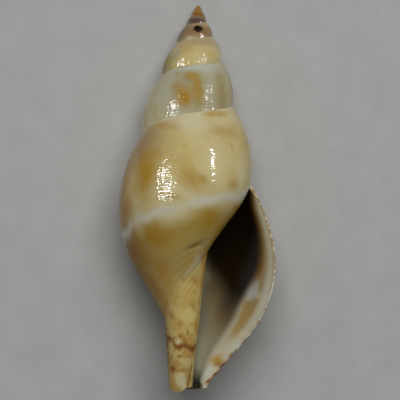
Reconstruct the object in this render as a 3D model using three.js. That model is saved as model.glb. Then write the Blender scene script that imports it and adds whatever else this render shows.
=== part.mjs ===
import * as THREE from "three";

// A tall, spindle-shaped sea shell, lying on its side with its aperture turned up.
// The whole shell is one wall, coiled round an axis from the apex down to the end of the canal.
// Places along the coil are counted in turns: 0 is the lip and -1 is one whorl before it.
// Depths are measured down the axis from the apex.

// The seam where each whorl sits on the one before it, in mm and growth for each turn
const SEAM_RADIUS = 4.4; // at the lip
const SEAM_DEPTH = 13.4; // at the lip
const RADIUS_GROWTH = 0.34;
const RADIUS_FLATTENING = 0.035; // makes the early whorls narrow faster
const DEPTH_GROWTH = 0.562;
const TURNS = 5.6;

// The outline of a whorl, as slopes of radius over depth
const SHOULDER_SLOPE = 0.59; // just below the seam, at the lip
const SHOULDER_CHANGE = -0.134; // for each turn, and the same for all the first whorls
const PERIPHERY_SLOPE = -0.44; // where the next whorl would sit, at the lip
const PERIPHERY_CHANGE = -0.216;
const BASE_SLOPE = -0.585; // where the base runs into the canal
const CANAL_SLOPE = -0.126; // along the canal

// The canal and the columella, in mm
const CANAL_RADIUS = 1.99; // where the canal starts, at the lip
const CANAL_DEPTH = 29.26;
const CANAL_GROWTH = 0.45;
const COLUMELLA_RADIUS = 2.21; // carried up to the apex along its slope
const COLUMELLA_TAPER = 0.047;
const COLUMELLA_SPREAD = 0.075; // the most that it can widen for each mm of depth
const COLUMELLA_BLEND = 0.2; // size of the soft corner between base and columella
const TIP_DEPTH = 29.5; // end of the canal
const TIP_POINT = 0.55; // how far the tip reaches lower on the front
const TIP_POINT_TURN = -0.66;

// The wall, in mm
const WALL = 0.3;
const CORNER_GAP = 0.5; // below the seam, where the corner of the hollow is
const HOLLOW_TURNS = 2; // how far up the coil the hollow is kept open
const LIP_SWEEP = 0.1; // how far the middle of the lip bulges forward, in radians
const LIP_AZIMUTH = -0.15; // direction of the lip round the axis, in radians from +X
const APEX_DEPTH = 0.17; // top of the first whorl
const BOW = 0.36; // sideways bend of the lower part of the axis
const BOW_START = 9.2;
const BOW_END = 15.3;

// How the shell lies, in degrees, and how deep the back of its two widest whorls is worn flat
// where they touch the table, in mm
const REST_ROLL = -2.24;
const REST_PITCH = -15.74;
const WORN_FLAT = 0.11;

// How finely the surfaces are divided
const COLUMNS = 32; // for each turn
const WHORL_ROWS = 6; // from seam to seam
const BASE_ROWS = 15; // from the seam to the end of the canal

function seamRadius(turn) {
  return SEAM_RADIUS * Math.exp(RADIUS_GROWTH * turn - RADIUS_FLATTENING * turn * turn);
}

function seamDepth(turn) {
  return SEAM_DEPTH * Math.exp(DEPTH_GROWTH * turn);
}

// A smooth curve of radius over depth between two points with given slopes
function curve(depth, topDepth, topRadius, topSlope, endDepth, endRadius, endSlope) {
  const span = endDepth - topDepth;
  const t = (depth - topDepth) / span;
  const t2 = t * t;
  const t3 = t2 * t;
  return (
    (2 * t3 - 3 * t2 + 1) * topRadius +
    (t3 - 2 * t2 + t) * span * topSlope +
    (3 * t2 - 2 * t3) * endRadius +
    (t3 - t2) * span * endSlope
  );
}

function columella(depth) {
  return Math.min(COLUMELLA_RADIUS - COLUMELLA_TAPER * depth, COLUMELLA_SPREAD * depth);
}

// Radius of the outer surface at a place along the coil and a depth
function radiusAt(turn, depth) {
  const changeTurns = Math.max(turn, -3.5);
  const shoulder = SHOULDER_SLOPE + SHOULDER_CHANGE * changeTurns;
  const periphery = PERIPHERY_SLOPE + PERIPHERY_CHANGE * changeTurns;
  const seam = seamDepth(turn + 1);
  if (depth < seam) {
    return curve(
      depth, seamDepth(turn), seamRadius(turn), shoulder,
      seam, seamRadius(turn + 1), periphery,
    );
  }
  const growth = Math.exp(CANAL_GROWTH * turn);
  const canalDepth = CANAL_DEPTH * growth;
  const canalRadius = CANAL_RADIUS * growth;
  const outer =
    depth < canalDepth
      ? curve(
          depth, seam, seamRadius(turn + 1), periphery,
          canalDepth, canalRadius, BASE_SLOPE,
        )
      : Math.max(canalRadius + CANAL_SLOPE * (depth - canalDepth), 0.01);
  return softMax(outer, columella(depth));
}

function softMax(first, second) {
  const share = clamp(0.5 + (first - second) / (2 * COLUMELLA_BLEND));
  return second + (first - second) * share + COLUMELLA_BLEND * share * (1 - share);
}

function clamp(value) {
  return Math.min(Math.max(value, 0), 1);
}

function mix(from, to, share) {
  return from + (to - from) * share;
}

function range(count) {
  return Array.from({ length: count + 1 }, (_, k) => k);
}

// The end of the canal is broken off a little unevenly
function tipDepth(turn) {
  return TIP_DEPTH + TIP_POINT * Math.exp(-(((turn - TIP_POINT_TURN) / 0.13) ** 2));
}

// All the points and triangles of the shell's one closed surface
const points = [];
const triangles = [];

// Adds a point; "along" runs from 0 at the seam to 1 at the tip and sets how far it is swept
function addPoint(turn, radius, depth, along) {
  const sweep = LIP_SWEEP * clamp(1 + turn) ** 2 * Math.sin(Math.PI * clamp(along));
  const azimuth = 2 * Math.PI * turn + LIP_AZIMUTH + sweep;
  const bend = THREE.MathUtils.smoothstep(depth, BOW_START, BOW_END) * BOW;
  points.push(new THREE.Vector3(
    radius * Math.cos(azimuth) + bend,
    -depth,
    radius * Math.sin(azimuth),
  ));
  return points.length - 1;
}

// How far down the coil's outline a depth is
function shareDown(turn, depth) {
  return (depth - seamDepth(turn)) / (tipDepth(turn) - seamDepth(turn));
}

function addOuterPoint(turn, depth) {
  return addPoint(turn, radiusAt(turn, depth), depth, shareDown(turn, depth));
}

// Evenly spaced depths, both ends included
function steps(top, end, rows) {
  return range(rows).map((row) => mix(top, end, row / rows));
}

// Depths of the points down a whole outline: the whorl first, then the base and canal
function outlineDepths(turn) {
  const nextSeam = seamDepth(turn + 1);
  return [
    ...steps(seamDepth(turn), nextSeam, WHORL_ROWS),
    ...steps(nextSeam + CORNER_GAP, tipDepth(turn), BASE_ROWS),
  ];
}

// Fills the band between two lines of points that run down the shell. Seen from the side that
// it faces, with the apex up, it has the first line on its right.
function addBand(right, left) {
  let i = 0;
  let j = 0;
  while (i < right.length - 1 || j < left.length - 1) {
    const nextRight = (i + 1) / (right.length - 1);
    const nextLeft = (j + 1) / (left.length - 1);
    if (j === left.length - 1 || (i < right.length - 1 && nextRight <= nextLeft)) {
      addTriangle(right[i], left[j], right[i + 1]);
      i += 1;
    } else {
      addTriangle(right[i], left[j], left[j + 1]);
      j += 1;
    }
  }
}

// Leaves out triangles that have closed up where two lines share a point
function addTriangle(a, b, c) {
  if (a !== b && b !== c && c !== a) {
    triangles.push(a, b, c);
  }
}

// Fills the space between a middle point and a line of points round it
function addFan(middle, line) {
  for (let k = 0; k + 1 < line.length; k += 1) {
    addTriangle(middle, line[k + 1], line[k]);
  }
}

// A point of the inner face, square to the outer surface at a depth
function innerFace(turn, depth) {
  const step = 0.02;
  const slope = (radiusAt(turn, depth + step) - radiusAt(turn, depth - step)) / (2 * step);
  const length = Math.hypot(1, slope);
  return {
    radius: radiusAt(turn, depth) - WALL / length,
    depth: depth + (WALL * slope) / length,
  };
}

// Room between the inner face and the whorl before it, square to the axis
function room(turn, depth) {
  const face = innerFace(turn, depth);
  return face.radius - radiusAt(turn - 1, face.depth);
}

// The depth between a closed and an open place where the room begins
function roomLimit(turn, closed, open) {
  let outside = closed;
  let inside = open;
  for (let step = 0; step < 30; step += 1) {
    const middle = (inside + outside) / 2;
    if (room(turn, middle) > 0) {
      inside = middle;
    } else {
      outside = middle;
    }
  }
  return inside;
}

// The two sides of the hollow at a place along the coil: the wall's inner face and the whorl
// before it. They meet under the seam, and again at the lower end where the canal is closed.
function hollowLines(turn) {
  const seam = seamDepth(turn);
  const tip = tipDepth(turn);
  const widest = mix(seam, seamDepth(turn + 1), 0.45);
  const open = room(turn, tip) > 0;
  const top = roomLimit(turn, seam, widest);
  const end = open ? tip : roomLimit(turn, tip, widest);
  const corner = innerFace(turn, top).depth;
  const bottom = open ? tipDepth(turn - 1) : innerFace(turn, end).depth;
  const inner = steps(corner, bottom, BASE_ROWS).map((depth) => addOuterPoint(turn - 1, depth));
  const outer = [inner[0]];
  for (const outlineDepth of outlineDepths(turn).slice(1, -1)) {
    const depth = mix(top, end, shareDown(turn, outlineDepth));
    const face = innerFace(turn, depth);
    outer.push(addPoint(turn, face.radius, face.depth, shareDown(turn, depth)));
  }
  if (open) {
    outer.push(addPoint(turn, innerFace(turn, tip).radius, tip, 1));
  } else {
    outer.push(inner.at(-1));
  }
  return { inner, outer, open };
}

// The hollow, with its lines counted backwards from the lip
const hollow = range(Math.round(HOLLOW_TURNS * COLUMNS)).map((k) => hollowLines(-k / COLUMNS));
for (let k = 0; k + 1 < hollow.length; k += 1) {
  addBand(hollow[k].outer, hollow[k + 1].outer);
  addBand(hollow[k + 1].inner, hollow[k].inner);
}
addBand(hollow.at(-1).outer, hollow.at(-1).inner);

// The outside, with its lines counted from the apex. Each line ends on the seam of the next
// whorl, and in the last whorl it goes on down to the tip.
const lastColumn = Math.round(TURNS * COLUMNS);
const turnAt = (column) => (column - lastColumn) / COLUMNS;
const seamPoints = range(lastColumn).map((column) =>
  addOuterPoint(turnAt(column), seamDepth(turnAt(column))),
);

function outsideLine(column) {
  const turn = turnAt(column);
  const below = column + COLUMNS;
  const depths = outlineDepths(turn).slice(1, below > lastColumn ? undefined : WHORL_ROWS);
  const line = [seamPoints[column], ...depths.map((depth) => addOuterPoint(turn, depth))];
  if (below < lastColumn) {
    line.push(seamPoints[below]);
  }
  if (below === lastColumn) {
    line.push(seamPoints[below], ...hollow[0].inner);
  }
  return line;
}

const outside = range(lastColumn).map(outsideLine);
for (let column = 0; column < lastColumn; column += 1) {
  const line = outside[column];
  addBand(line, outside[column + 1].slice(0, line.length));
}

// The edge of the lip
addBand(outside[lastColumn], hollow[0].outer);

// The broken end of the canal: a rim round its slot, then the end of the columella
const slotColumns = hollow.findIndex((line) => !line.open) - 1;
const lastSlotLine = hollow[slotColumns];
const rim = range(slotColumns + 1).map((k) => outside[lastColumn - k].at(-1));
const slot = range(slotColumns).map((k) => hollow[k].outer.at(-1));
addBand(rim, [...slot, lastSlotLine.inner.at(-1)]);
addTriangle(lastSlotLine.inner.at(-1), slot.at(-1), hollow[slotColumns + 1].inner.at(-1));
const columellaEnd = [
  ...range(COLUMNS - slotColumns - 1).map((k) => outside[lastColumn - slotColumns - 1 - k].at(-1)),
  ...range(slotColumns).slice(1).map((k) => hollow[k].inner.at(-1)),
  rim.at(-1),
];
addFan(addPoint(-1, 0, TIP_DEPTH - 0.1, 0), columellaEnd);

// The start of the coil at the apex, and the small step where its first whorl comes round
points.push(new THREE.Vector3(0, -APEX_DEPTH, 0));
const apex = points.length - 1;
addFan(apex, seamPoints.slice(0, COLUMNS + 1));
addFan(seamPoints[COLUMNS], [...outside[0].slice(0, -1).reverse(), apex]);

// Lays the shell down on the plane z = 0, with its outline centred on the origin and its back
// worn flat where it touches
function layDown(geometry) {
  geometry.rotateY(THREE.MathUtils.degToRad(REST_ROLL));
  geometry.rotateX(THREE.MathUtils.degToRad(REST_PITCH));
  geometry.computeBoundingBox();
  const box = geometry.boundingBox;
  geometry.translate(
    -(box.min.x + box.max.x) / 2,
    -(box.min.y + box.max.y) / 2,
    -box.min.z - WORN_FLAT,
  );
  const place = geometry.getAttribute("position");
  for (let k = 0; k < place.count; k += 1) {
    place.setZ(k, Math.max(place.getZ(k), 0));
  }
  return geometry;
}

function shellGeometry() {
  const geometry = new THREE.BufferGeometry();
  geometry.setAttribute(
    "position",
    new THREE.Float32BufferAttribute(points.flatMap((point) => point.toArray()), 3),
  );
  geometry.setIndex(triangles);
  return layDown(geometry);
}

const porcelain = new THREE.MeshStandardMaterial({ color: 0xb9a878, roughness: 0.3 });
const shell = new THREE.Mesh(shellGeometry(), porcelain);
shell.name = "shell";

const part = new THREE.Group();
part.add(shell);

export default part;
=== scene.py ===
import math
import random

import bpy
import numpy as np
from mathutils import Matrix, Vector


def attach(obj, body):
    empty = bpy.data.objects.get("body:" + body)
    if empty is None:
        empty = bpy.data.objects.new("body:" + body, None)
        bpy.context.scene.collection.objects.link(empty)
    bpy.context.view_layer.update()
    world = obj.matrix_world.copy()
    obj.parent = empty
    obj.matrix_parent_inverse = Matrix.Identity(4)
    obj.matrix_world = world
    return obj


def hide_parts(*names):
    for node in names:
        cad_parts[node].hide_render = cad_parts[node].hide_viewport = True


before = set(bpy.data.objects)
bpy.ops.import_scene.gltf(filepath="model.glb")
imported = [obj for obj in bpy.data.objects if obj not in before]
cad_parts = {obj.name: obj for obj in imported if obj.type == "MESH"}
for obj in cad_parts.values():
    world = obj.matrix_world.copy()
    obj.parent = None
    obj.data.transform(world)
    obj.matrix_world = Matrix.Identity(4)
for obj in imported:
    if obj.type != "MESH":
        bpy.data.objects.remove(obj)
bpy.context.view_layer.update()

# The shell: its shape
# A spindle-shaped sea shell, grown as one piece of calcium carbonate: a single thin wall,
# coiled round an axis from the apex down to the end of its long canal. Places along the coil
# are counted in turns, 0 at the lip and -1 one whorl before it, and depths run down the axis.

# Lengths are in mm until the tree that coils the shell scales them.

# The seam where each whorl sits on the one before it, at the lip, and its growth for each turn
SEAM_RADIUS, SEAM_DEPTH = 4.4, 13.4
RADIUS_GROWTH, RADIUS_FLATTENING, DEPTH_GROWTH = 0.34, 0.035, 0.562
TURNS = 5.6

# The outline of a whorl, as slopes of radius over depth at the lip and their change each turn
SHOULDER_SLOPE, SHOULDER_CHANGE = 0.59, -0.134
PERIPHERY_SLOPE, PERIPHERY_CHANGE = -0.44, -0.216
BASE_SLOPE, CANAL_SLOPE = -0.585, -0.126

# The canal, its broken tip, and the columella inside it
CANAL_RADIUS, CANAL_DEPTH, CANAL_GROWTH = 1.99, 29.26, 0.45
TIP_DEPTH = 29.5
TIP_POINT, TIP_POINT_TURN, TIP_POINT_WIDTH = 0.55, -0.66, 0.13
COLUMELLA_RADIUS, COLUMELLA_TAPER, COLUMELLA_SPREAD = 2.21, 0.047, 0.075
COLUMELLA_BLEND = 0.38  # size of the soft corner between base and columella

# The wall
WALL = 0.3  # its thickness
HOLLOW_TURNS = 2  # how far up the coil the hollow is kept open
APEX_DEPTH = 0.17  # top of the first whorl
DOME_RADIUS, DOME_DEPTH = 0.32, 0.62
BELLY, BELLY_DEPTH = 0.09, 0.78
FULLNESS = 0.045  # of the upper whorls, as a share of their height, two thirds of the way down
LEDGE = 0.05  # how far each whorl's upper edge stands out over the whorl before it
LIP_BEVEL, LIP_THINNING = 0.55, 0.5  # the lip thickens inwards from its thin edge
HOLE_TURN, HOLE_DEPTH, HOLE_SINK = -3.74, 2.13, 0.55  # a hole worn into the third whorl
SCAR_LEAN = -28  # degrees, of a healed growth scar

# How finely it is divided
COLUMNS = 200  # for each turn
BASE_ROWS = 121  # from the seam to the end of the canal
CROWDING = 0.78  # how much closer together the rows of a whorl are at its seams
HOLLOW_STEP = 2  # the hollow has every second row, and further in every second column
LIP_COLUMNS = 30  # up to here it has every column
EDGE_LINES = 5  # round the edge of the lip


def smooth(value, start, end):
    t = np.clip((value - start) / (end - start), 0.0, 1.0)
    return t * t * (3 - 2 * t)


def between(value, start, full, fading, end):
    """1 in the middle, falling off softly to 0 at both ends."""
    return smooth(value, start, full) * (1 - smooth(value, fading, end))


def hump(value, middle, width):
    return np.exp(-(((value - middle) / width) ** 2))


def seam_radius(turn):
    return SEAM_RADIUS * np.exp(RADIUS_GROWTH * turn - RADIUS_FLATTENING * turn * turn)


def seam_depth(turn):
    return SEAM_DEPTH * np.exp(DEPTH_GROWTH * turn)


def curve(depth, top, end):
    """A smooth curve of radius over depth between two (depth, radius, slope)."""
    span = end[0] - top[0]
    t = (depth - top[0]) / span
    return (
        (2 * t**3 - 3 * t**2 + 1) * top[1]
        + (t**3 - 2 * t**2 + t) * span * top[2]
        + (3 * t**2 - 2 * t**3) * end[1]
        + (t**3 - t**2) * span * end[2]
    )


def columella(depth):
    return np.minimum(COLUMELLA_RADIUS - COLUMELLA_TAPER * depth, COLUMELLA_SPREAD * depth)


def radius_at(turn, depth):
    """Radius of the plain outer surface."""
    change = np.maximum(turn, -3.5)
    shoulder = SHOULDER_SLOPE + SHOULDER_CHANGE * change
    periphery = PERIPHERY_SLOPE + PERIPHERY_CHANGE * change
    upper = (seam_depth(turn), seam_radius(turn), shoulder)
    lower = (seam_depth(turn + 1), seam_radius(turn + 1), periphery)
    growth = np.exp(CANAL_GROWTH * turn)
    canal = (CANAL_DEPTH * growth, CANAL_RADIUS * growth, BASE_SLOPE)
    base = np.where(
        depth < canal[0],
        curve(depth, lower, canal),
        np.maximum(canal[1] + CANAL_SLOPE * (depth - canal[0]), 0.01),
    )
    pillar = columella(depth)
    share = np.clip(0.5 + (base - pillar) / (2 * COLUMELLA_BLEND), 0, 1)
    base = pillar + (base - pillar) * share + COLUMELLA_BLEND * share * (1 - share)
    return np.where(depth < lower[0], curve(depth, upper, lower), base)


def tip_depth(turn):
    """The end of the canal is broken off, with one point reaching lower on the front."""
    return TIP_DEPTH + TIP_POINT * hump(turn, TIP_POINT_TURN, TIP_POINT_WIDTH)


def share_down(turn, depth):
    """0 at the seam and 1 at the end of the canal."""
    return (depth - seam_depth(turn)) / (tip_depth(turn) - seam_depth(turn))


def whorl_rows(turn):
    """Rows from seam to seam: more on the larger whorls, and round the small hole."""
    if abs(turn - HOLE_TURN) < 0.09:
        return 40
    if turn < -3:
        return 18
    return 24 if turn < -2 else 34


def outline_depths(turn):
    """Depths down a whole outline: those of the whorl, then those of the base."""
    down = np.linspace(0, 1, whorl_rows(turn) + 1)
    down = down - CROWDING * np.sin(2 * np.pi * down) / (2 * np.pi)
    top, seam = seam_depth(turn), seam_depth(turn + 1)
    base = np.linspace(seam + 0.12, tip_depth(turn), BASE_ROWS + 1)
    return top + down * (seam - top), base


def inner_face(turn, depth):
    """(radius, depth) of the wall's inner face, square to the outer surface."""
    step = 0.02
    slope = (radius_at(turn, depth + step) - radius_at(turn, depth - step)) / (2 * step)
    length = np.sqrt(1 + slope * slope)
    return radius_at(turn, depth) - WALL / length, depth + WALL * slope / length


def room(turn, depth):
    """How far the wall's inner face is from the whorl before it."""
    radius, lower = inner_face(turn, depth)
    return radius - radius_at(turn - 1, lower)


def room_limit(turn, closed, inside):
    """The depth between two others where the room begins."""
    for _ in range(30):
        middle = (inside + closed) / 2
        if room(turn, middle) > 0:
            inside = middle
        else:
            closed = middle
    return inside


OUTSIDE, LIP, HOLLOW_WALL, HOLLOW_FLOOR, TIP = range(5)
points = []  # (turn, depth, radius, share down the outline, which surface, turns behind the lip)
faces = []


def add_points(turn, depths, radii, shares, surface, behind):
    """Adds points that stand at one turn, and gives their numbers."""
    start = len(points)
    for depth, radius, share in zip(depths, radii, shares):
        points.append((turn, depth, radius, share, surface, behind))
    return list(range(start, len(points)))


def add_face(a, b, c):
    if a != b and b != c and c != a:
        faces.append((a, b, c))


def add_band(right, left):
    """Fills the band between two lines of points that run down the shell."""
    i = j = 0
    while i < len(right) - 1 or j < len(left) - 1:
        next_right = (i + 1) / max(len(right) - 1, 1)
        next_left = (j + 1) / max(len(left) - 1, 1)
        if j == len(left) - 1 or (i < len(right) - 1 and next_right <= next_left):
            add_face(right[i], left[j], right[i + 1])
            i += 1
        else:
            add_face(right[i], left[j], left[j + 1])
            j += 1


def add_fan(middle, line):
    for a, b in zip(line, line[1:]):
        add_face(middle, b, a)


def hollow_lines(column):
    """The wall's inner face and the whorl before it, so many columns behind the lip."""
    turn = -column / COLUMNS
    seam, tip = seam_depth(turn), tip_depth(turn)
    widest = seam + 0.45 * (seam_depth(turn + 1) - seam)
    is_open = room(turn, tip) > 0
    top = room_limit(turn, seam, widest)
    end = tip if is_open else room_limit(turn, tip, widest)
    corner = inner_face(turn, top)[1]
    bottom = tip_depth(turn - 1) if is_open else inner_face(turn, end)[1]
    step = 1 if column == 0 else HOLLOW_STEP
    depths = np.linspace(corner, bottom, BASE_ROWS // step + 1)
    floor = add_points(turn - 1, depths, radius_at(turn - 1, depths),
                       share_down(turn - 1, depths), HOLLOW_FLOOR, -turn)
    outline = np.concatenate(outline_depths(turn))[::step][1:-1]
    across = top + share_down(turn, outline) * (end - top)
    radii, lower = inner_face(turn, across)
    wall = [floor[0]] + add_points(turn, lower, radii, share_down(turn, across),
                                   HOLLOW_WALL, -turn)
    if is_open:
        wall += add_points(turn, [tip], [inner_face(turn, tip)[0]], [1.0], HOLLOW_WALL, -turn)
    else:
        wall.append(floor[-1])
    return {"floor": floor, "wall": wall, "open": is_open}


hollow_columns = [*range(LIP_COLUMNS), *range(LIP_COLUMNS, HOLLOW_TURNS * COLUMNS + 1, HOLLOW_STEP)]
hollow = [hollow_lines(column) for column in hollow_columns]
for near, far in zip(hollow, hollow[1:]):
    add_band(near["wall"], far["wall"])
    add_band(far["floor"], near["floor"])
add_band(hollow[-1]["wall"], hollow[-1]["floor"])

last = round(TURNS * COLUMNS)
seams = []
for column in range(last + 1):
    seam_turn = (column - last) / COLUMNS
    seams += add_points(seam_turn, [seam_depth(seam_turn)], [seam_radius(seam_turn)], [0.0], OUTSIDE, 0)


def outside_line(column):
    turn = (column - last) / COLUMNS
    whorl, base = outline_depths(turn)
    below = column + COLUMNS
    depths = np.concatenate((whorl[1:], base)) if below > last else whorl[1:-1]
    line = [seams[column]] + add_points(turn, depths, radius_at(turn, depths),
                                        share_down(turn, depths), OUTSIDE, 0)
    if below <= last:
        line.append(seams[below])
    if below == last:
        line += hollow[0]["floor"]
    return line


outside = [outside_line(column) for column in range(last + 1)]
for column in range(last):
    line = outside[column]
    nearby = outside[column + 1]
    if column == last - COLUMNS:
        # the line that the lip meets runs on along the floor of the hollow
        rows = len(nearby) - BASE_ROWS - 1
        add_band(line[:rows], nearby[:rows])
        add_band(line[rows - 1:], nearby[rows - 1:])
    elif column + 1 == last - COLUMNS:
        add_band(line, nearby[:len(nearby) - BASE_ROWS - 1])
    else:
        add_band(line, nearby)

# The rounded edge of the lip, as lines of points from its outer face to its inner face
edge_line = outside[last]
for number in range(1, EDGE_LINES + 1):
    next_line = hollow[0]["wall"]
    if number < EDGE_LINES:
        angle = math.pi * number / EDGE_LINES
        across, forward = (1 - math.cos(angle)) / 2, math.sin(angle)
        next_line = [edge_line[0]]
        for a, b in list(zip(outside[last], hollow[0]["wall"]))[1:-1]:
            down = points[a][3]
            rounded = between(down, 0.0, 0.06, 0.94, 1.0)
            edge_radius = points[a][2] + across * (points[b][2] - points[a][2])
            edge_depth = points[a][1] + across * (points[b][1] - points[a][1])
            bulge = 0.35 * WALL * forward * rounded / (2 * math.pi * max(edge_radius, 1.0))
            next_line += add_points(bulge, [edge_depth], [edge_radius], [down], LIP, 0)
        next_line.append(edge_line[-1])
    add_band(edge_line, next_line)
    edge_line = next_line

# The broken end of the canal: a rim round its slot, then the end of the columella
slot_end = [line["open"] for line in hollow].index(False) - 1
fine_end = hollow_columns[slot_end + 1]
last_slot = hollow[slot_end]
rim = [outside[last - back][-1] for back in range(fine_end + 1)]
slot = [line["wall"][-1] for line in hollow[:slot_end + 1]]
add_band(rim, slot + [last_slot["floor"][-1]])
add_face(last_slot["floor"][-1], slot[-1], hollow[slot_end + 1]["floor"][-1])
columella_end = [outside[last - back][-1] for back in range(fine_end, COLUMNS + 1)]
columella_end[-1] = hollow[0]["floor"][-1]
columella_end += [line["floor"][-1] for line in hollow[1:slot_end + 1]] + [rim[-1]]
middle = add_points(-1, [TIP_DEPTH - 0.1], [0.0], [1.0], TIP, 0)[0]
add_fan(middle, columella_end)

# The start of the coil at the apex
apex = add_points(-TURNS, [APEX_DEPTH], [0.0], [0.0], OUTSIDE, 0)[0]
spokes = []
for end in seams[:COLUMNS + 1]:
    end_turn, end_depth, end_radius = points[end][:3]
    spoke = [apex]
    for part in (0.08, 0.2, 0.4, 0.6, 0.8):
        part_depth = APEX_DEPTH + part * (end_depth - APEX_DEPTH)
        spoke += add_points(end_turn, [part_depth], [part * end_radius], [0.0], OUTSIDE, 0)
    spokes.append(spoke + [end])
for a, b in zip(spokes, spokes[1:]):
    for inner_a, inner_b, outer_a, outer_b in zip(a, b, a[1:], b[1:]):
        add_face(inner_a, outer_b, outer_a)
        add_face(inner_a, inner_b, outer_b)
add_fan(seams[COLUMNS], outside[0][:-1][::-1] + spokes[0][-2::-1] + spokes[-1][1:-1])

# Small forms of the surface, each as a change of its radius. The first whorl is full and ends
# in a blunt dome, and the upper whorls are a little fuller below.
table = np.array(points)
turn, depth, radius, share, surface, behind = table.T
on_outside, on_lip, on_wall = surface == OUTSIDE, surface == LIP, surface == HOLLOW_WALL
outer = on_outside | on_lip | (surface == HOLLOW_FLOOR)
belly = BELLY * hump(depth, BELLY_DEPTH, 0.33) * smooth(depth, APEX_DEPTH, 0.4)
radius = radius + np.where(on_outside, belly, 0)
above = np.maximum(DOME_DEPTH - depth, 0) / (DOME_DEPTH - APEX_DEPTH)
dome = DOME_RADIUS * np.sqrt(np.maximum(0, 1 - above**1.1))
radius = np.where(on_outside & (depth < DOME_DEPTH), np.maximum(radius, dome), radius)
below_seam = depth - seam_depth(turn)
whorl_height = seam_depth(turn + 1) - seam_depth(turn)
down_whorl = np.clip(below_seam / whorl_height, 0, 1)
fuller = FULLNESS * whorl_height * 6.75 * down_whorl**2 * (1 - down_whorl)  # 6.75 makes the top 1
upper_whorls = smooth(-turn, 2.05, 2.4) * smooth(depth, 1.0, 1.4)
radius = radius + np.where(on_outside, fuller * upper_whorls, 0)

# The thin upper edge with which each whorl lies on the one before it
size = seam_radius(turn) / SEAM_RADIUS  # how far grown this whorl is
on_whorl = outer & (below_seam > 0)
ledge = LEDGE * np.sqrt(size) * smooth(below_seam, 0, 0.05) * np.exp(-below_seam / 0.3)
radius = radius + np.where(on_whorl, ledge, 0)


def distance(spot_turn, spot_depth, half_around, half_down, lean=0.0):
    """Distance from a spot, 1 on its edge; a lean in degrees turns its lower end to the left."""
    around = (turn - spot_turn) * 2 * math.pi * np.maximum(radius, 0.3)
    down = depth - spot_depth
    cosine, sine = math.cos(math.radians(lean)), math.sin(math.radians(lean))
    x, y = cosine * around - sine * down, sine * around + cosine * down
    near = np.sqrt((x / half_around) ** 2 + (y / half_down) ** 2)
    return np.where(np.abs(turn - spot_turn) < 0.4, near, 99.0)


# The worn hole, and the scar with a low fold under it
hole = distance(HOLE_TURN, HOLE_DEPTH, 0.37, 0.25)
hole_edge = hole + 0.06 * np.sin(turn * 110 + 1) + 0.05 * np.sin(depth * 17 + turn * 50)
radius = radius - np.where(on_outside, HOLE_SINK * (1 - smooth(hole_edge, 0.7, 1.1)), 0)
scar = distance(-0.75, 18.97, 0.68, 0.13, SCAR_LEAN)
scar_fold = distance(-0.757, 19.16, 0.62, 0.1, SCAR_LEAN)
radius = radius - on_outside * (0.07 * np.exp(-scar**2) - 0.03 * np.exp(-scar_fold**2))

# The lip: a bevel inside it, its thin edge, and slight waves in the lower part of the edge
gap = radius - radius_at(turn - 1, depth)
bevel = LIP_BEVEL * (1 - np.exp(-behind / 0.02)) * (1 - smooth(behind, 0.06, 0.4))
bevel = bevel * between(share, 0.02, 0.14, 0.93, 1.0)
radius = radius - np.where(on_wall, np.clip(bevel, 0, 0.25 * np.maximum(gap, 0)), 0)
between_ends = between(share, 0, 0.06, 0.94, 1.0)
outside_at_lip = radius_at(0 * turn, depth)
thinned = np.where(on_lip, outside_at_lip - radius, 0)
thinned = np.where(on_wall, WALL * np.exp(-behind / 0.015), thinned)
radius = radius + LIP_THINNING * thinned * between_ends
near_edge = np.where(on_lip, 1, np.where(on_wall, np.exp(-behind / 0.01), np.exp(turn / 0.01)))
near_edge = near_edge * np.where(on_wall | on_outside | on_lip, between_ends, 0)
waves = np.sin(depth * 6.3) + 0.6 * np.sin(depth * 11 + 1)
radius = radius + 0.03 * near_edge * smooth(depth, 22, 24) * waves

# The shell: its markings
# Most colours lie in the shell itself: soft ochre patches on cream, a pale band round the
# widest part, and rows of red-brown marks on the canal and along the lip. The dark of the hollow
# and of the hole is painted shadow and shade, and the end of the canal is darkened partly by
# painted shade.

thread = np.log(np.maximum(depth, 0.1)) - DEPTH_GROWTH * turn  # the same all along one cord
masks = {name: np.zeros(len(table)) for name in
         ("ochre", "brown", "pale", "mauve", "violet", "grey", "olive", "low", "tan", "rust", "milk")}


def deepen(mask, where, amount):
    """Brings a mask up to an amount on some of the surfaces."""
    masks[mask] = np.maximum(masks[mask], np.where(np.isin(surface, where), amount, 0))


def stain(mask, where, strength, *spot):
    """A spot that fades at its edge."""
    deepen(mask, where, strength * np.exp(-distance(*spot) ** 2.4))


SKIN = (OUTSIDE, HOLLOW_FLOOR)
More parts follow.
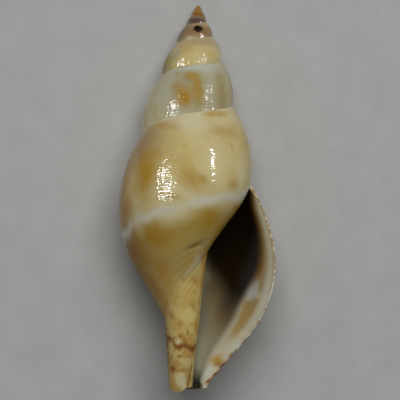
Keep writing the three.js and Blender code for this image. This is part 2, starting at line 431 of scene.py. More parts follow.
# kind, strength, turn, depth, half width round the shell, half height, and the lean of some
for kind, strength, *spot in (
    # the spire
    ("violet", 1.0, -4.7, 1.42, 1.6, 0.56),
    ("violet", 0.9, -4.87, 1.33, 0.5, 0.4),
    ("rust", 1.0, -4.75, 0.93, 0.8, 0.18),
    ("brown", 0.7, -4.75, 0.92, 0.8, 0.13),
    ("violet", 0.6, -3.555, 2.75, 0.6, 0.85),
    ("mauve", 1.0, -3.72, 2.25, 3.0, 0.85),
    ("mauve", 0.6, -2.75, 3.1, 2.6, 0.5),
    ("ochre", 0.5, -2.66, 3.75, 0.9, 0.5),
    ("ochre", 0.25, -2.78, 4.2, 0.7, 0.4),
    ("grey", 1.0, -2.615, 4.2, 0.4, 0.5, 20),
    ("olive", 0.7, -2.57, 4.65, 0.6, 0.5),
    ("olive", 0.5, -2.56, 5.2, 0.7, 0.35),
    ("violet", 0.65, -2.515, 4.6, 0.8, 1.5),
    # the last whorl but one
    ("milk", 0.7, -1.72, 5.2, 2.6, 0.45),
    ("milk", 0.2, -1.62, 7.2, 1.0, 1.8),
    ("grey", 1.0, -1.72, 7.0, 4.6, 3.4),
    ("mauve", 0.18, -1.66, 6.2, 1.6, 0.7),
    ("olive", 0.8, -1.716, 5.98, 0.75, 0.55),
    ("ochre", 0.75, -1.716, 5.97, 0.55, 0.42),
    ("olive", 0.6, -1.742, 7.1, 0.5, 1.5),
    ("ochre", 0.7, -1.74, 6.5, 0.36, 0.5),
    ("ochre", 0.7, -1.748, 7.4, 0.42, 0.9),
    ("ochre", 0.6, -1.72, 7.2, 0.7, 0.6),
    ("olive", 0.5, -1.662, 7.0, 0.8, 0.8),
    ("ochre", 0.8, -1.652, 6.85, 0.42, 0.4),
    ("ochre", 0.9, -1.678, 7.3, 0.55, 0.5),
    ("ochre", 1.0, -1.695, 7.75, 0.75, 0.75),
    ("ochre", 0.65, -1.65, 8.05, 0.25, 0.36),
    ("ochre", 0.65, -1.646, 5.85, 0.22, 0.22),
    ("rust", 0.25, -1.69, 7.7, 0.4, 0.7, -20),
    ("ochre", 0.4, -1.585, 8.8, 0.26, 0.4),
    ("olive", 0.55, -1.848, 6.8, 0.62, 1.9),
    ("ochre", 0.26, -1.85, 6.9, 0.62, 1.8),
    ("rust", 0.9, -1.948, 6.8, 0.42, 2.4),
    # the last whorl, above the pale band
    ("rust", 0.2, -0.63, 10.0, 0.5, 0.2),
    ("ochre", 0.2, -0.72, 11.2, 4.0, 1.3),
    ("ochre", 0.7, -0.66, 10.1, 0.9, 0.3),
    ("ochre", 0.7, -0.79, 8.9, 0.7, 0.22),
    ("ochre", 0.5, -0.805, 8.7, 0.7, 0.16),
    ("ochre", 0.5, -0.625, 9.8, 0.6, 0.2),
    ("ochre", 0.72, -0.826, 10.15, 1.3, 0.6),
    ("ochre", 0.4, -0.685, 10.35, 0.32, 0.24),
    ("pale", 0.4, -0.725, 9.6, 2.6, 0.9),
    ("mauve", 0.8, -0.58, 11.6, 2.0, 2.2),
    ("ochre", 0.55, -0.84, 11.4, 0.2, 0.5),
    ("ochre", 1.0, -0.605, 13.8, 1.3, 2.2),
    ("ochre", 0.7, -0.725, 14.15, 1.5, 0.85, 30),
    ("ochre", 0.85, -0.745, 14.05, 0.6, 0.42, 30),
    ("ochre", 0.6, -0.66, 15.3, 1.4, 0.3, 15),
    ("ochre", 0.3, -0.7, 12.9, 1.2, 0.9),
    ("ochre", 0.65, -0.842, 14.15, 0.5, 0.45),
    ("ochre", 0.25, -0.91, 11.2, 0.8, 1.4),
    ("rust", 0.95, -0.49, 15.5, 1.4, 7.0),
    ("rust", 0.6, -2.44, 4.6, 0.7, 2.0),
    ("ochre", 0.9, -0.525, 13.6, 1.1, 2.0),
    ("ochre", 1.0, -0.53, 16.2, 1.4, 1.3),
    ("rust", 0.5, -0.53, 16.5, 1.2, 0.8),
    # below the pale band
    ("ochre", 0.85, -0.615, 18.35, 1.1, 1.2),
    ("rust", 0.3, -0.615, 18.4, 0.8, 0.9),
    ("ochre", 0.9, -0.54, 18.4, 0.9, 1.3),
    ("rust", 0.95, -0.515, 19.0, 1.5, 2.2),
    ("olive", 0.55, -0.65, 20.5, 2.0, 1.1),
    ("olive", 0.4, -0.58, 21.8, 1.0, 1.3),
    ("olive", 0.3, -0.71, 19.8, 1.2, 0.7),
    ("ochre", 0.85, -0.8, 17.0, 1.9, 0.8, 15),
    ("ochre", 0.7, -0.89, 15.75, 0.7, 0.4),
    ("rust", 0.4, -0.93, 17.2, 0.7, 0.9),
    ("ochre", 0.6, -0.6, 21.2, 0.5, 1.2),
    ("rust", 0.45, -0.59, 20.6, 1.0, 0.9),
    ("rust", 0.7, -0.505, 21.8, 0.6, 2.6),
    ("ochre", 0.5, -0.72, 20.2, 0.5, 0.5),
    ("brown", 0.5, -0.748, 18.93, 0.75, 0.13, -28),
    ("olive", 0.9, -0.748, 18.93, 0.9, 0.24, -28),
    ("pale", 0.5, -0.775, 19.05, 0.3, 0.07, -28),
    ("pale", 0.55, -0.775, 20.15, 0.75, 0.14, -48),
    ("pale", 0.4, -0.76, 20.5, 0.8, 0.12, -48),
    ("pale", 0.45, -0.8, 19.9, 0.35, 0.5, -30),
    ("ochre", 0.8, -0.87, 19.6, 0.5, 1.4),
    ("rust", 0.7, -0.9, 21.5, 0.12, 2.0),
    ("rust", 0.6, -0.88, 24.5, 0.1, 2.0),
    # small patches of the canal
    ("rust", 0.5, -0.692, 21.42, 0.2, 0.24, -40),
    ("rust", 0.7, -0.79, 21.35, 0.3, 0.4, -40),
    ("rust", 0.5, -0.652, 22.7, 0.18, 0.2, -40),
    ("rust", 0.6, -0.815, 22.35, 0.16, 0.24, -40),
    ("olive", 0.4, -0.807, 23.45, 0.3, 0.5, -40),
    ("rust", 0.45, -0.805, 23.4, 0.24, 0.4, -40),
    ("rust", 0.8, -0.678, 24.72, 0.28, 0.3, -20),
    ("rust", 0.7, -0.585, 24.13, 0.3, 0.5, -40),
    ("rust", 0.3, -0.62, 23.2, 0.3, 0.4, -40),
    ("olive", 0.8, -0.825, 28.4, 0.3, 0.9),
    ("rust", 0.9, -0.72, 28.3, 0.62, 0.17),
):
    stain(kind, SKIN, strength, *spot)

# The pale band, which thins out in two places on the front and varies round the back
PALE_BAND = ((-0.95, 14.5), (-0.91, 14.8), (-0.84, 15.1), (-0.79, 15.4), (-0.745, 15.85), (-0.7, 16.3),
             (-0.645, 16.7), (-0.58, 17.2), (-0.53, 17.95), (-0.42, 18.8), (-0.2, 19.6), (0.0, 20.6))
band_turn, band_depth = np.array(PALE_BAND).T
round_the_back = smooth(turn, -0.5, -0.42)
broad = 0.36 * (1 + round_the_back * (0.5 * np.sin(turn * 37) + 0.35 * np.sin(turn * 83 + 1)))
offset = (depth - np.interp(turn, band_turn, band_depth)) / broad
wavy = 0.35 * np.sin(turn * 75) + 0.2 * np.sin(turn * 140 + 2)
strength = smooth(turn, -1.02, -0.93) * (1 - 0.6 * smooth(turn, -0.46, -0.38))
thin_places = 0.6 * hump(turn, -0.7, 0.018) + 0.5 * hump(turn, -0.565, 0.015)
strength = strength * (1 - thin_places) * (1 - round_the_back * (0.25 + 0.25 * np.sin(turn * 29 + 2)))
deepen("pale", (OUTSIDE,), 0.95 * strength * np.exp(-(offset + 0.5 * wavy) ** 2))
deepen("low", (OUTSIDE,), smooth(offset, 0.7, 4.6) * smooth(turn, -1.1, -1.0))

# A red-brown zigzag round the canal: turn, depth and strength at its corners
ZIGZAG = ((-0.97, 26.2, 0.0), (-0.9, 26.4, 0.9), (-0.86, 26.56, 1.0), (-0.8, 26.55, 0.9),
          (-0.755, 26.36, 0.8), (-0.725, 26.38, 0.8), (-0.665, 26.58, 0.85), (-0.63, 26.47, 0.85),
          (-0.6, 26.2, 0.6), (-0.57, 25.93, 0.85), (-0.52, 25.82, 0.95), (-0.45, 25.75, 0.8),
          (-0.38, 26.1, 0.5), (-0.3, 25.8, 0.7), (-0.2, 26.3, 0.4), (-0.1, 26.2, 0.0))
zig_turn, zig_depth, zig_strength = np.array(ZIGZAG).T
zig = np.abs(depth - np.interp(turn, zig_turn, zig_depth)) / (0.17 + 0.05 * np.sin(turn * 90))
strength = np.interp(turn, zig_turn, zig_strength)
deepen("brown", SKIN, strength * np.exp(-zig**3))
deepen("rust", SKIN, strength * np.exp(-((0.52 * zig) ** 3)))

# Dots on the canal, brown in a wider rust stain: strength, turn, depth, half width, half height
for strength, *spot, half_around, half_down in (
    (1.0, -0.515, 25.85, 0.28, 0.22), (0.6, -0.81, 26.6, 0.26, 0.2), (1.0, -0.86, 26.57, 0.26, 0.26),
    (0.45, -0.6, 25.85, 0.24, 0.1), (0.4, -0.685, 25.72, 0.2, 0.11), (0.4, -0.73, 25.95, 0.1, 0.2),
    (0.5, -0.61, 26.33, 0.12, 0.16), (0.75, -0.765, 25.38, 0.07, 0.18), (0.5, -0.684, 27.22, 0.2, 0.1),
    (0.45, -0.57, 27.26, 0.16, 0.1), (0.3, -0.82, 27.2, 0.16, 0.1), (0.9, -0.585, 28.18, 0.24, 0.18),
    (0.3, -0.655, 28.37, 0.2, 0.1), (0.35, -0.73, 28.27, 0.2, 0.1), (0.8, -0.487, 26.25, 0.16, 0.26),
    (0.7, -0.497, 27.0, 0.13, 0.2), (0.6, -0.484, 27.55, 0.15, 0.16), (0.9, -0.862, 28.0, 0.05, 0.3),
    (1.0, -0.845, 28.7, 0.05, 0.5), (1.0, -0.82, 29.4, 0.05, 0.5), (0.4, -0.488, 24.3, 0.14, 0.26),
    (0.35, -0.5, 25.1, 0.13, 0.17),
):
    stain("rust", SKIN, min(1.5 * strength, 1.0), *spot, 1.4 * half_around, 1.5 * half_down)
    stain("brown", SKIN, strength, *spot, half_around, half_down)
stain("pale", SKIN, 0.6, -0.661, 26.12, 0.2, 0.16)
stain("grey", SKIN, 0.8, -0.735, 29.15, 0.4, 0.5)
# Painted shade at the very end of the canal: the olive and the brown below darken it
stain("olive", SKIN, 0.9, -0.685, 30.0, 0.5, 0.4)
stain("rust", SKIN, 0.5, -0.67, 29.9, 0.3, 0.2)
stain("brown", SKIN, 0.3, -0.69, 30.0, 0.4, 0.2)

# The same kinds of marks go on round the back, at random places
maker = random.Random(11)
for _ in range(34):
    spot_turn = maker.uniform(-0.42, -0.02)
    low, high = float(seam_depth(spot_turn)) + 0.6, 24.5
    stain("ochre", SKIN, maker.uniform(0.3, 0.9), spot_turn, maker.uniform(low, high),
          maker.uniform(0.4, 1.1), maker.uniform(0.4, 1.4), maker.uniform(-20, 20))
for _ in range(16):
    spot_turn = maker.uniform(-1.5, -1.03)
    low, high = float(seam_depth(spot_turn)) + 0.4, float(seam_depth(spot_turn + 1)) - 0.3
    stain("ochre", SKIN, maker.uniform(0.4, 0.9), spot_turn, maker.uniform(low, high),
          maker.uniform(0.3, 0.8), maker.uniform(0.3, 0.9), maker.uniform(-15, 15))
for _ in range(16):
    stain("brown", SKIN, maker.uniform(0.4, 0.9), maker.uniform(-0.44, -0.05),
          maker.uniform(25.6, 28.6), maker.uniform(0.12, 0.28), maker.uniform(0.1, 0.2))

# The inside of the lip: a pale band along the edge with tan patches, a greyish wall behind it,
# and the painted shadow and shade of the hollow
LIP_BAND = ((14.0, 0.022), (17.7, 0.038), (18.3, 0.042), (19.4, 0.05), (20.0, 0.055), (20.6, 0.064),
            (21.1, 0.076), (21.6, 0.084), (22.5, 0.09), (23.0, 0.0905), (23.9, 0.085), (24.9, 0.08),
            (26.0, 0.072), (27.0, 0.069), (27.5, 0.062), (28.0, 0.05), (28.5, 0.034), (29.3, 0.03))
band_depth, band_width = np.array(LIP_BAND).T
width = np.interp(depth, band_depth, band_width)
# Where the painted shadow in the hollow begins, as turn and depth of its edge
SHADOW_EDGE = ((-0.3, 17.5), (-0.2, 18.6), (-0.19, 19.2), (-0.18, 20.0), (-0.15, 21.3), (-0.13, 22.1),
             (-0.11, 22.7), (-0.05, 23.6))
shadow_edge_turn, shadow_edge_depth = np.array(SHADOW_EDGE).T
# Painted shadow: the band's inner border and the shadow's edge bound it, and reach is how far a point lies
# above that edge
masks["band"] = behind - width
masks["reach"] = np.interp(turn, shadow_edge_turn, shadow_edge_depth) - depth
masks["inside"] = np.where(on_wall, 1.0, 0.0)
# Painted shade deep in the hollow, at the inner end of the slot, and on the whorl before, which forms the
# hollow's floor
in_slot = 0.9 * smooth(depth, 27.7, 29.2) * smooth(behind, 0.022, 0.045)
masks["deep"] = np.where(on_wall, np.maximum(smooth(behind, 0.28, 0.45), in_slot), 0)
masks["deep"] = np.where(surface == HOLLOW_FLOOR, smooth(behind, 0.03, 0.12), masks["deep"])

# Tan along the inner border of the band, in a spike below it and in a patch lower down
across = behind / width
along_border = between(across, 0.1, 0.6, 1.25, 1.7) * (1 - smooth(depth, 20.6, 21.4))
deepen("tan", (HOLLOW_WALL,), along_border)
deepen("tan", (HOLLOW_WALL,), hump(behind, 0.029, 0.01) * between(depth, 20.0, 21.0, 21.4, 22.0))
patch_border = np.interp(depth, (22.5, 24, 25.5), (0.062, 0.044, 0.032))
low_patch = smooth(behind, 0.01, 0.026) * (1 - smooth(behind - patch_border, 0, 0.024))
deepen("tan", (HOLLOW_WALL,), low_patch * between(depth, 22.0, 22.5, 24.4, 26.4))
rusty = between(across, 0.5, 0.95, 1.2, 1.6) * (1 - smooth(depth, 19.4, 21.2))
deepen("rust", (HOLLOW_WALL,), rusty)

# Stains inside the lip, in the same order
for kind, strength, *spot in (
    ("ochre", 0.85, -0.0135, 27.2, 0.34, 0.5, 30),
    ("rust", 0.6, -0.007, 27.5, 0.16, 0.2),
    ("brown", 0.5, -0.005, 27.55, 0.1, 0.14),
    ("grey", 0.25, -0.1, 26.4, 1.2, 1.7),
    ("mauve", 0.2, -0.118, 23.3, 0.7, 1.2),
    ("violet", 0.45, -0.122, 22.6, 0.6, 1.0),
    ("milk", 0.7, -0.003, 27.0, 0.14, 0.14),
    ("milk", 0.6, 0.0, 26.1, 0.2, 0.4),
    ("milk", 0.8, -0.021, 28.1, 0.17, 0.5),
    ("milk", 1.0, -0.054, 21.65, 0.66, 0.6),
    ("milk", 0.3, -0.008, 21.6, 0.4, 0.9),
    ("milk", 0.3, -0.008, 22.8, 0.4, 1.2),
    ("grey", 0.6, -0.2, 20.3, 0.7, 0.6),
):
    stain(kind, (HOLLOW_WALL,), strength, *spot)

# Brown blotches on the outer part of the edge: strength, turn, depth, half width, half height
from_outside = smooth(radius - outside_at_lip, -0.55, -0.22)
for strength, *spot, half_across, half_along in (
    (0.7, 0.006, 26.8, 0.14, 0.2), (1.0, 0.003, 27.6, 0.2, 0.24), (1.0, 0.006, 28.3, 0.18, 0.22),
    (1.0, 0.006, 28.95, 0.18, 0.18), (0.6, 0.008, 25.6, 0.18, 0.14), (0.6, 0.008, 24.9, 0.16, 0.12),
    (0.5, 0.008, 24.3, 0.16, 0.08),
):
    for kind, wider in (("rust", 1.4), ("brown", 0.9)):
        soaked = strength * np.exp(-distance(*spot, wider * half_across, wider * half_along) ** 2.4)
        deepen(kind, (OUTSIDE,), soaked)
        deepen(kind, (LIP,), soaked * from_outside ** (2 - wider))

# Where the material finds its cords, threads and growth lines
masks["thread"] = thread
masks["share"] = share
masks["depth"] = depth
masks["below"] = below_seam
masks["arc"] = 2 * math.pi * 1.3 * seam_radius(turn) / DEPTH_GROWTH  # mm grown so far
cord_ends = 1 - 0.85 * smooth(depth, 24.0, 26.5)
masks["cords"] = np.where(outer, smooth(thread, 3.31, 3.46) * cord_ends, 0)

# The thin pale line at the seams, the strokes below them, and the notched edge of the lip
seam_line = hump(below_seam, 0.04, 0.1 * np.sqrt(size)) * smooth(depth, 2, 9)
masks["seam"] = np.where(on_whorl, seam_line, 0)
both_places = np.maximum(between(turn, -0.7, -0.65, -0.62, -0.55), between(turn, -0.9, -0.85, -0.79, -0.75))
masks["hatch"] = np.where(outer, hump(below_seam, 0.42, 0.3) * both_places, 0)
masks["lip"] = np.where(on_lip | (on_outside & (turn > -0.004)), 0.9, 0)
outer_part = smooth(radius - radius_at(turn, depth), -0.35, -0.12)
masks["edge"] = np.where(on_lip & (share > 0.02), outer_part, 0)
masks["edge"] = np.where(on_outside & (turn > -0.012), 1.0, masks["edge"])
masks["edge"] *= 1 - 0.22 * between(depth, 20.0, 21.5, 25.0, 26.5)

# The painted shade in the hole, the worn parts that have lost their polish, and how much darker the end of
# the canal is, partly its own colour and partly painted shade
masks["hole"] = np.where(on_outside, 1 - smooth(hole_edge, 0.85, 1.15), 0)
worn_spot = 0.35 * np.exp(-distance(-3.66, 2.95, 0.35, 0.4) ** 2)
masks["dull"] = np.where(outer, np.maximum(smooth(depth, 17.5, 20.5), worn_spot), 0)
masks["dull"] = np.maximum(np.where(on_lip, 0.8, masks["dull"]), masks["hole"])
masks["apex"] = 1 - smooth(depth, 0.9, 1.1)
masks["canal"] = np.where(outer, smooth(thread, 3.28, 3.8), 0)
masks["end_tone_and_shade"] = smooth(depth, 23.6, 26.6)

# How strongly the threads and growth lines are raised, less on the sides and low down
relief = np.interp(size, (0.1, 0.3, 0.5, 0.7, 1.0), (0.4, 1.4, 1.9, 1.4, 1.0))
left_start = 0.33 + 0.05 * size
on_left = between(turn % 1, left_start, left_start + 0.06, 0.85, 0.95)
on_right = (1 - smooth(turn % 1, 0.22, 0.27)) * smooth(size, 0.6, 0.8)
low_down = smooth(depth, 14.6, 16.4)
masks["relief"] = relief * (1 - 0.7 * on_left) * (1 - 0.6 * low_down) * (1 - 0.15 * on_right)
masks["growth"] = 1 - 0.8 * on_right

# The end of the canal is chipped last, because the markings go by the depth of the whole one
chips = 0.05 + 0.035 * np.sin(turn * 61) + 0.03 * np.sin(turn * 137 + 1) + 0.02 * np.sin(turn * 260)
depth = depth - smooth(depth, 28.2, 29.2) * np.clip(chips, 0, 1)

rolled_out = bpy.data.meshes.new("shell rolled out")
rolled_out.from_pydata(np.column_stack((turn, depth, radius)).tolist(), [], faces)
for name, values in masks.items():
    layer = rolled_out.attributes.new(name, "FLOAT", "POINT")
    layer.data.foreach_set("value", values.astype(np.float32))
shell = bpy.data.objects.new("shell_surface", rolled_out)
bpy.context.scene.collection.objects.link(shell)

# The shell: its material
# Polished, porcelain-like shell. Its gloss is broken by very fine spiral threads and growth
# lines, and the markings are soft stains with slightly ragged edges.


def feed(tree, socket, value):
    """Gives a socket a number, a colour, or what another socket holds."""
    if isinstance(value, bpy.types.NodeSocket):
        tree.links.new(value, socket)
    else:
        socket.default_value = (*value, 1.0) if isinstance(value, tuple) else value


def calc(tree, operation, a, b=0.0, c=0.0):
    node = tree.nodes.new("ShaderNodeMath")
    node.operation = operation
    for socket, value in zip(node.inputs, (a, b, c)):
        feed(tree, socket, value)
    return node.outputs[0]


def product(tree, value, *factors):
    for factor in factors:
        value = calc(tree, "MULTIPLY", value, factor)
    return value


def reads(tree, name):
    """A value kept on the shell's own mesh."""
    node = tree.nodes.new("ShaderNodeAttribute")
    node.attribute_name = name
    return node.outputs["Fac"]


def mottle(tree, where, scale, detail=2.0, roughness=0.5, dimensions="3D"):
    node = tree.nodes.new("ShaderNodeTexNoise")
    node.noise_dimensions = dimensions
    node.inputs["Scale"].default_value = scale
    node.inputs["Detail"].default_value = detail
    node.inputs["Roughness"].default_value = roughness
    tree.links.new(where, node.inputs["W" if dimensions == "1D" else "Vector"])
    return node.outputs["Fac"]


def remap(tree, value, low, high, to_low=0.0, to_high=1.0):
    node = tree.nodes.new("ShaderNodeMapRange")
    node.interpolation_type = "SMOOTHSTEP"
    for name, number in (("Value", value), ("From Min", low), ("From Max", high),
                         ("To Min", to_low), ("To Max", to_high)):
        feed(tree, node.inputs[name], number)
    return node.outputs[0]


def blended(tree, factor, a, b):
    node = tree.nodes.new("ShaderNodeMix")
    node.data_type = "RGBA"
    for index, value in ((0, factor), (6, a), (7, b)):
        feed(tree, node.inputs[index], value)
    return node.outputs[2]


# A stain soaked into the shell: its mask is broken up by a mottle before it colours the ground
stain_group = bpy.data.node_groups.new("Stain in the shell", "ShaderNodeTree")
for name, kind in (("Ground", "Color"), ("Stain", "Color"), ("Mask", "Float"), ("Mottle", "Float"),
                   ("Raggedness", "Float")):
    stain_group.interface.new_socket(name, in_out="INPUT", socket_type="NodeSocket" + kind)
stain_group.interface.new_socket("Colour", in_out="OUTPUT", socket_type="NodeSocketColor")
stain_in = stain_group.nodes.new("NodeGroupInput")
stain_out = stain_group.nodes.new("NodeGroupOutput")
ragged = product(stain_group, calc(stain_group, "SUBTRACT", stain_in.outputs["Mottle"], 0.5),
                 stain_in.outputs["Raggedness"], remap(stain_group, stain_in.outputs["Mask"], 0.0, 0.3))
amount = calc(stain_group, "ADD", stain_in.outputs["Mask"], ragged)
clamped = stain_group.nodes.new("ShaderNodeClamp")
stain_group.links.new(amount, clamped.inputs["Value"])
stain_group.links.new(
    blended(stain_group, clamped.outputs[0], stain_in.outputs["Ground"], stain_in.outputs["Stain"]),
    stain_out.inputs["Colour"])


def stained(tree, ground, colour, mask, mottling, raggedness):
    node = tree.nodes.new("ShaderNodeGroup")
    node.node_tree = stain_group
    for name, value in (("Ground", ground), ("Stain", colour), ("Mask", mask),
                        ("Mottle", mottling), ("Raggedness", raggedness)):
        feed(tree, node.inputs[name], value)
    return node.outputs[0]


glaze = bpy.data.materials.new("polished shell")
glaze.use_nodes = True
tree = glaze.node_tree
principled = tree.nodes["Principled BSDF"]
place = tree.nodes.new("ShaderNodeTexCoord").outputs["Object"]
cloud = mottle(tree, place, 260, 3.0, 0.55)  # about 4 mm
blotch = mottle(tree, place, 900, 3.0, 0.6)  # about 1 mm
grit = mottle(tree, place, 3200, 2.0, 0.6)

# The ground
CREAM, YELLOW_CREAM = (0.78, 0.69, 0.38), (0.72, 0.57, 0.22)
LOW = (0.50, 0.345, 0.08)  # below the pale band
APEX = (0.38, 0.23, 0.05)
AMBER, DEEP_AMBER = (0.73, 0.59, 0.21), (0.61, 0.39, 0.05)  # of the canal
# The end of the canal, darker: partly its own colour, partly painted shade
END_AMBER_AND_SHADE, END_DEEP_AMBER_AND_SHADE = (0.57, 0.47, 0.19), (0.45, 0.28, 0.05)  # of its end
# The hollow's wall, and the painted shade on it towards the painted shadow
INNER, INNER_SHADE = (0.28, 0.265, 0.18), (0.24, 0.18, 0.085)  # of the hollow
LIP_CREAM, LIP_GREY = (0.76, 0.70, 0.49), (0.63, 0.58, 0.41)
RIM_CREAM, RIM_WHITE, RIM_GREY = (0.72, 0.62, 0.38), (0.74, 0.73, 0.60), (0.60, 0.58, 0.46)

# The stains
OCHRE = (0.50, 0.28, 0.02)
OLIVE = (0.34, 0.28, 0.07)
MAUVE = (0.32, 0.185, 0.08)
VIOLET = (0.115, 0.07, 0.065)
GREY = (0.50, 0.475, 0.32)
WHITE = (0.76, 0.72, 0.55)
MILK = (0.62, 0.65, 0.60)
TAN = (0.53, 0.365, 0.14)
RUST = (0.40, 0.18, 0.015)
BROWN = (0.19, 0.045, 0.006)
NOTCH = (0.36, 0.17, 0.03)
# The last two are painted shade, not stains: in the hollow and in the hole
DARK = (0.014, 0.008, 0.002)
HOLE_SHADE = (0.024, 0.017, 0.003)

CORD_SPACING = 0.0276  # in the value that is the same all along a cord
STROKE_SPACING, THREAD_SPACING, GROWTH_SPACING = 0.24, 0.19, 0.23  # mm
BUMP_HEIGHT = 0.009  # mm
MM = 0.001  # metres

# The ground of the outside, with a narrow pale streak along each cord
colour = blended(tree, remap(tree, cloud, 0.35, 0.65), CREAM, YELLOW_CREAM)
colour = stained(tree, colour, LOW, reads(tree, "low"), cloud, 0.5)
colour = stained(tree, colour, APEX, reads(tree, "apex"), grit, 0.3)
# Towards the end of the canal the amber darkens: partly its own colour, partly painted shade
clotted = remap(tree, blotch, 0.42, 0.6)
amber = blended(tree, reads(tree, "end_tone_and_shade"), blended(tree, clotted, AMBER, DEEP_AMBER),
                blended(tree, clotted, END_AMBER_AND_SHADE, END_DEEP_AMBER_AND_SHADE))
colour = stained(tree, colour, amber, reads(tree, "canal"), cloud, 0.3)
cords = product(tree, reads(tree, "thread"), 2 * math.pi / CORD_SPACING)
peaks = calc(tree, "ADD", calc(tree, "COSINE", product(tree, cords, 2.0)), calc(tree, "COSINE", cords))
faded = remap(tree, blotch, 0.35, 0.6, 0.3, 1.0)
streak = product(tree, remap(tree, peaks, 0.2, 1.7, 0.0, 0.6), remap(tree, cloud, 0.35, 0.6, 0.2, 1.0),
                 faded, reads(tree, "cords"))
colour = blended(tree, streak, colour, WHITE)

# The wall of the hollow with painted shade that deepens towards the painted shadow, the pale band along the
# lip, and the edge of the lip
inside, band, reach = reads(tree, "inside"), reads(tree, "band"), reads(tree, "reach")
down = reads(tree, "depth")
inner = blended(tree, remap(tree, reach, -4.5, -1.0), INNER, INNER_SHADE)
colour = blended(tree, inside, colour, inner)
lip_band = product(tree, inside, remap(tree, band, -0.03, 0.006, 1.0, 0.0))
lip_colour = blended(tree, remap(tree, down, 22.6, 23.8), LIP_CREAM, LIP_GREY)
colour = blended(tree, lip_band, colour, lip_colour)
rim = blended(tree, remap(tree, down, 19.5, 21.2), RIM_CREAM, RIM_WHITE)
rim = blended(tree, remap(tree, down, 21.6, 22.8), rim, RIM_GREY)
colour = blended(tree, reads(tree, "lip"), colour, rim)

for name, stain_colour, raggedness in (
    ("tan", TAN, 0.0), ("grey", GREY, 0.3), ("mauve", MAUVE, 0.3), ("violet", VIOLET, 0.3),
    ("olive", OLIVE, 0.5), ("ochre", OCHRE, 0.7), ("rust", RUST, 0.6), ("pale", WHITE, 0.5),
    ("milk", MILK, 0.3), ("brown", BROWN, 0.35),
):
    colour = stained(tree, colour, stain_colour, reads(tree, name), blotch, raggedness)

# Ochre strokes below the seam, the pale line on it, and brown notches in the edge of the lip
strokes = calc(tree, "MULTIPLY_ADD", reads(tree, "below"), 0.5, reads(tree, "arc"))
strokes = calc(tree, "COSINE", product(tree, strokes, 2 * math.pi / STROKE_SPACING))
strokes = product(tree, remap(tree, strokes, -1.0, 1.0, 0.35, 0.75), faded, reads(tree, "hatch"))
colour = blended(tree, strokes, colour, OCHRE)
colour = blended(tree, product(tree, reads(tree, "seam"), 0.55), colour, WHITE)
notches = product(tree, mottle(tree, down, 3.0, 3.0, dimensions="1D"), reads(tree, "edge"))
notches = product(tree, remap(tree, notches, 0.44, 0.54), 0.8)
colour = blended(tree, notches, colour, NOTCH)

# Painted shadow and shade in the hollow, and painted shade in the hole in the third whorl
shadow = product(tree, remap(tree, reach, -2.4, 1.3), remap(tree, band, -0.028, 0.012))
dark = calc(tree, "MAXIMUM", product(tree, inside, shadow), reads(tree, "deep"))
colour = blended(tree, dark, colour, DARK)
# Painted shade in the hole
colour = stained(tree, colour, HOLE_SHADE, reads(tree, "hole"), grit, 0.3)
tree.links.new(colour, principled.inputs["Base Color"])

principled.inputs["IOR"].default_value = 1.5
dull = calc(tree, "MAXIMUM", dark, reads(tree, "dull"))
polish = remap(tree, grit, 0.3, 0.7, 0.05, 0.09)
tree.links.new(calc(tree, "MULTIPLY_ADD", dull, 0.85, polish), principled.inputs["Roughness"])

# The fine threads and growth lines, raised, each broken up along its length
weave = tree.nodes.new("ShaderNodeCombineXYZ")
tree.links.new(reads(tree, "arc"), weave.inputs[0])
tree.links.new(reads(tree, "below"), weave.inputs[1])
wander = product(tree, mottle(tree, weave.outputs[0], 2.2, dimensions="2D"), 9.0)
threads, ridges = (
    calc(tree, "COSINE", calc(tree, "MULTIPLY_ADD", reads(tree, name), 2 * math.pi / spacing, wander))
    for name, spacing in (("below", THREAD_SPACING), ("arc", GROWTH_SPACING))
)
height = calc(tree, "MULTIPLY_ADD", product(tree, ridges, reads(tree, "growth")), 0.4,
              product(tree, threads, 0.45))
height = product(tree, height, remap(tree, blotch, 0.35, 0.65, 0.5, 1.25), reads(tree, "relief"),
                 calc(tree, "SUBTRACT", 1.0, reads(tree, "cords")),
                 calc(tree, "SUBTRACT", 1.0, inside))
height = calc(tree, "ADD", height, product(tree, grit, 0.6))
bump = tree.nodes.new("ShaderNodeBump")
bump.inputs["Strength"].default_value = 1.0
bump.inputs["Distance"].default_value = BUMP_HEIGHT * MM
tree.links.new(height, bump.inputs["Height"])
tree.links.new(bump.outputs[0], principled.inputs["Normal"])

# The shell: its coil
# The wall grows by adding to its lip, which turns and widens as it goes, so one rule coils
# all of it. The tree takes the rolled-out wall (turn, depth, radius), raises its cords, coils
# it round the axis, bows its lower part a little sideways and lays it on its worn back.

REST_ROLL, REST_PITCH = math.radians(-2.24), math.radians(-15.74)
REST_SHIFT = Vector((-0.90836, 14.4723, 1.21317))

coil = bpy.data.node_groups.new("Coil of the shell", "GeometryNodeTree")
coil.interface.new_socket("Wall", in_out="INPUT", socket_type="NodeSocketGeometry")
COIL_SIZES = {
    "Lip direction": -0.15,  # radians round the axis
    "Lip sweep": 0.1,
    "Bow": 0.36,  # how far the lower part is bowed to one side
    "Bow start": 9.2,
    "Bow end": 15.3,
    "Cord height": 0.007,
    "Cord spacing": CORD_SPACING,
    "Unevenness": 0.09,
    "Unevenness seed": 7.0,
    "Scale": MM,
}
for name, value in COIL_SIZES.items():
    socket = coil.interface.new_socket(name, in_out="INPUT", socket_type="NodeSocketFloat")
    socket.default_value = value
for name, kind in (("Roll", "Vector"), ("Pitch", "Vector"), ("Shift", "Vector"), ("Material", "Material")):
    coil.interface.new_socket(name, in_out="INPUT", socket_type="NodeSocket" + kind)
coil.interface.new_socket("Shell", in_out="OUTPUT", socket_type="NodeSocketGeometry")
coil_in = coil.nodes.new("NodeGroupInput").outputs
coil_out = coil.nodes.new("NodeGroupOutput").inputs


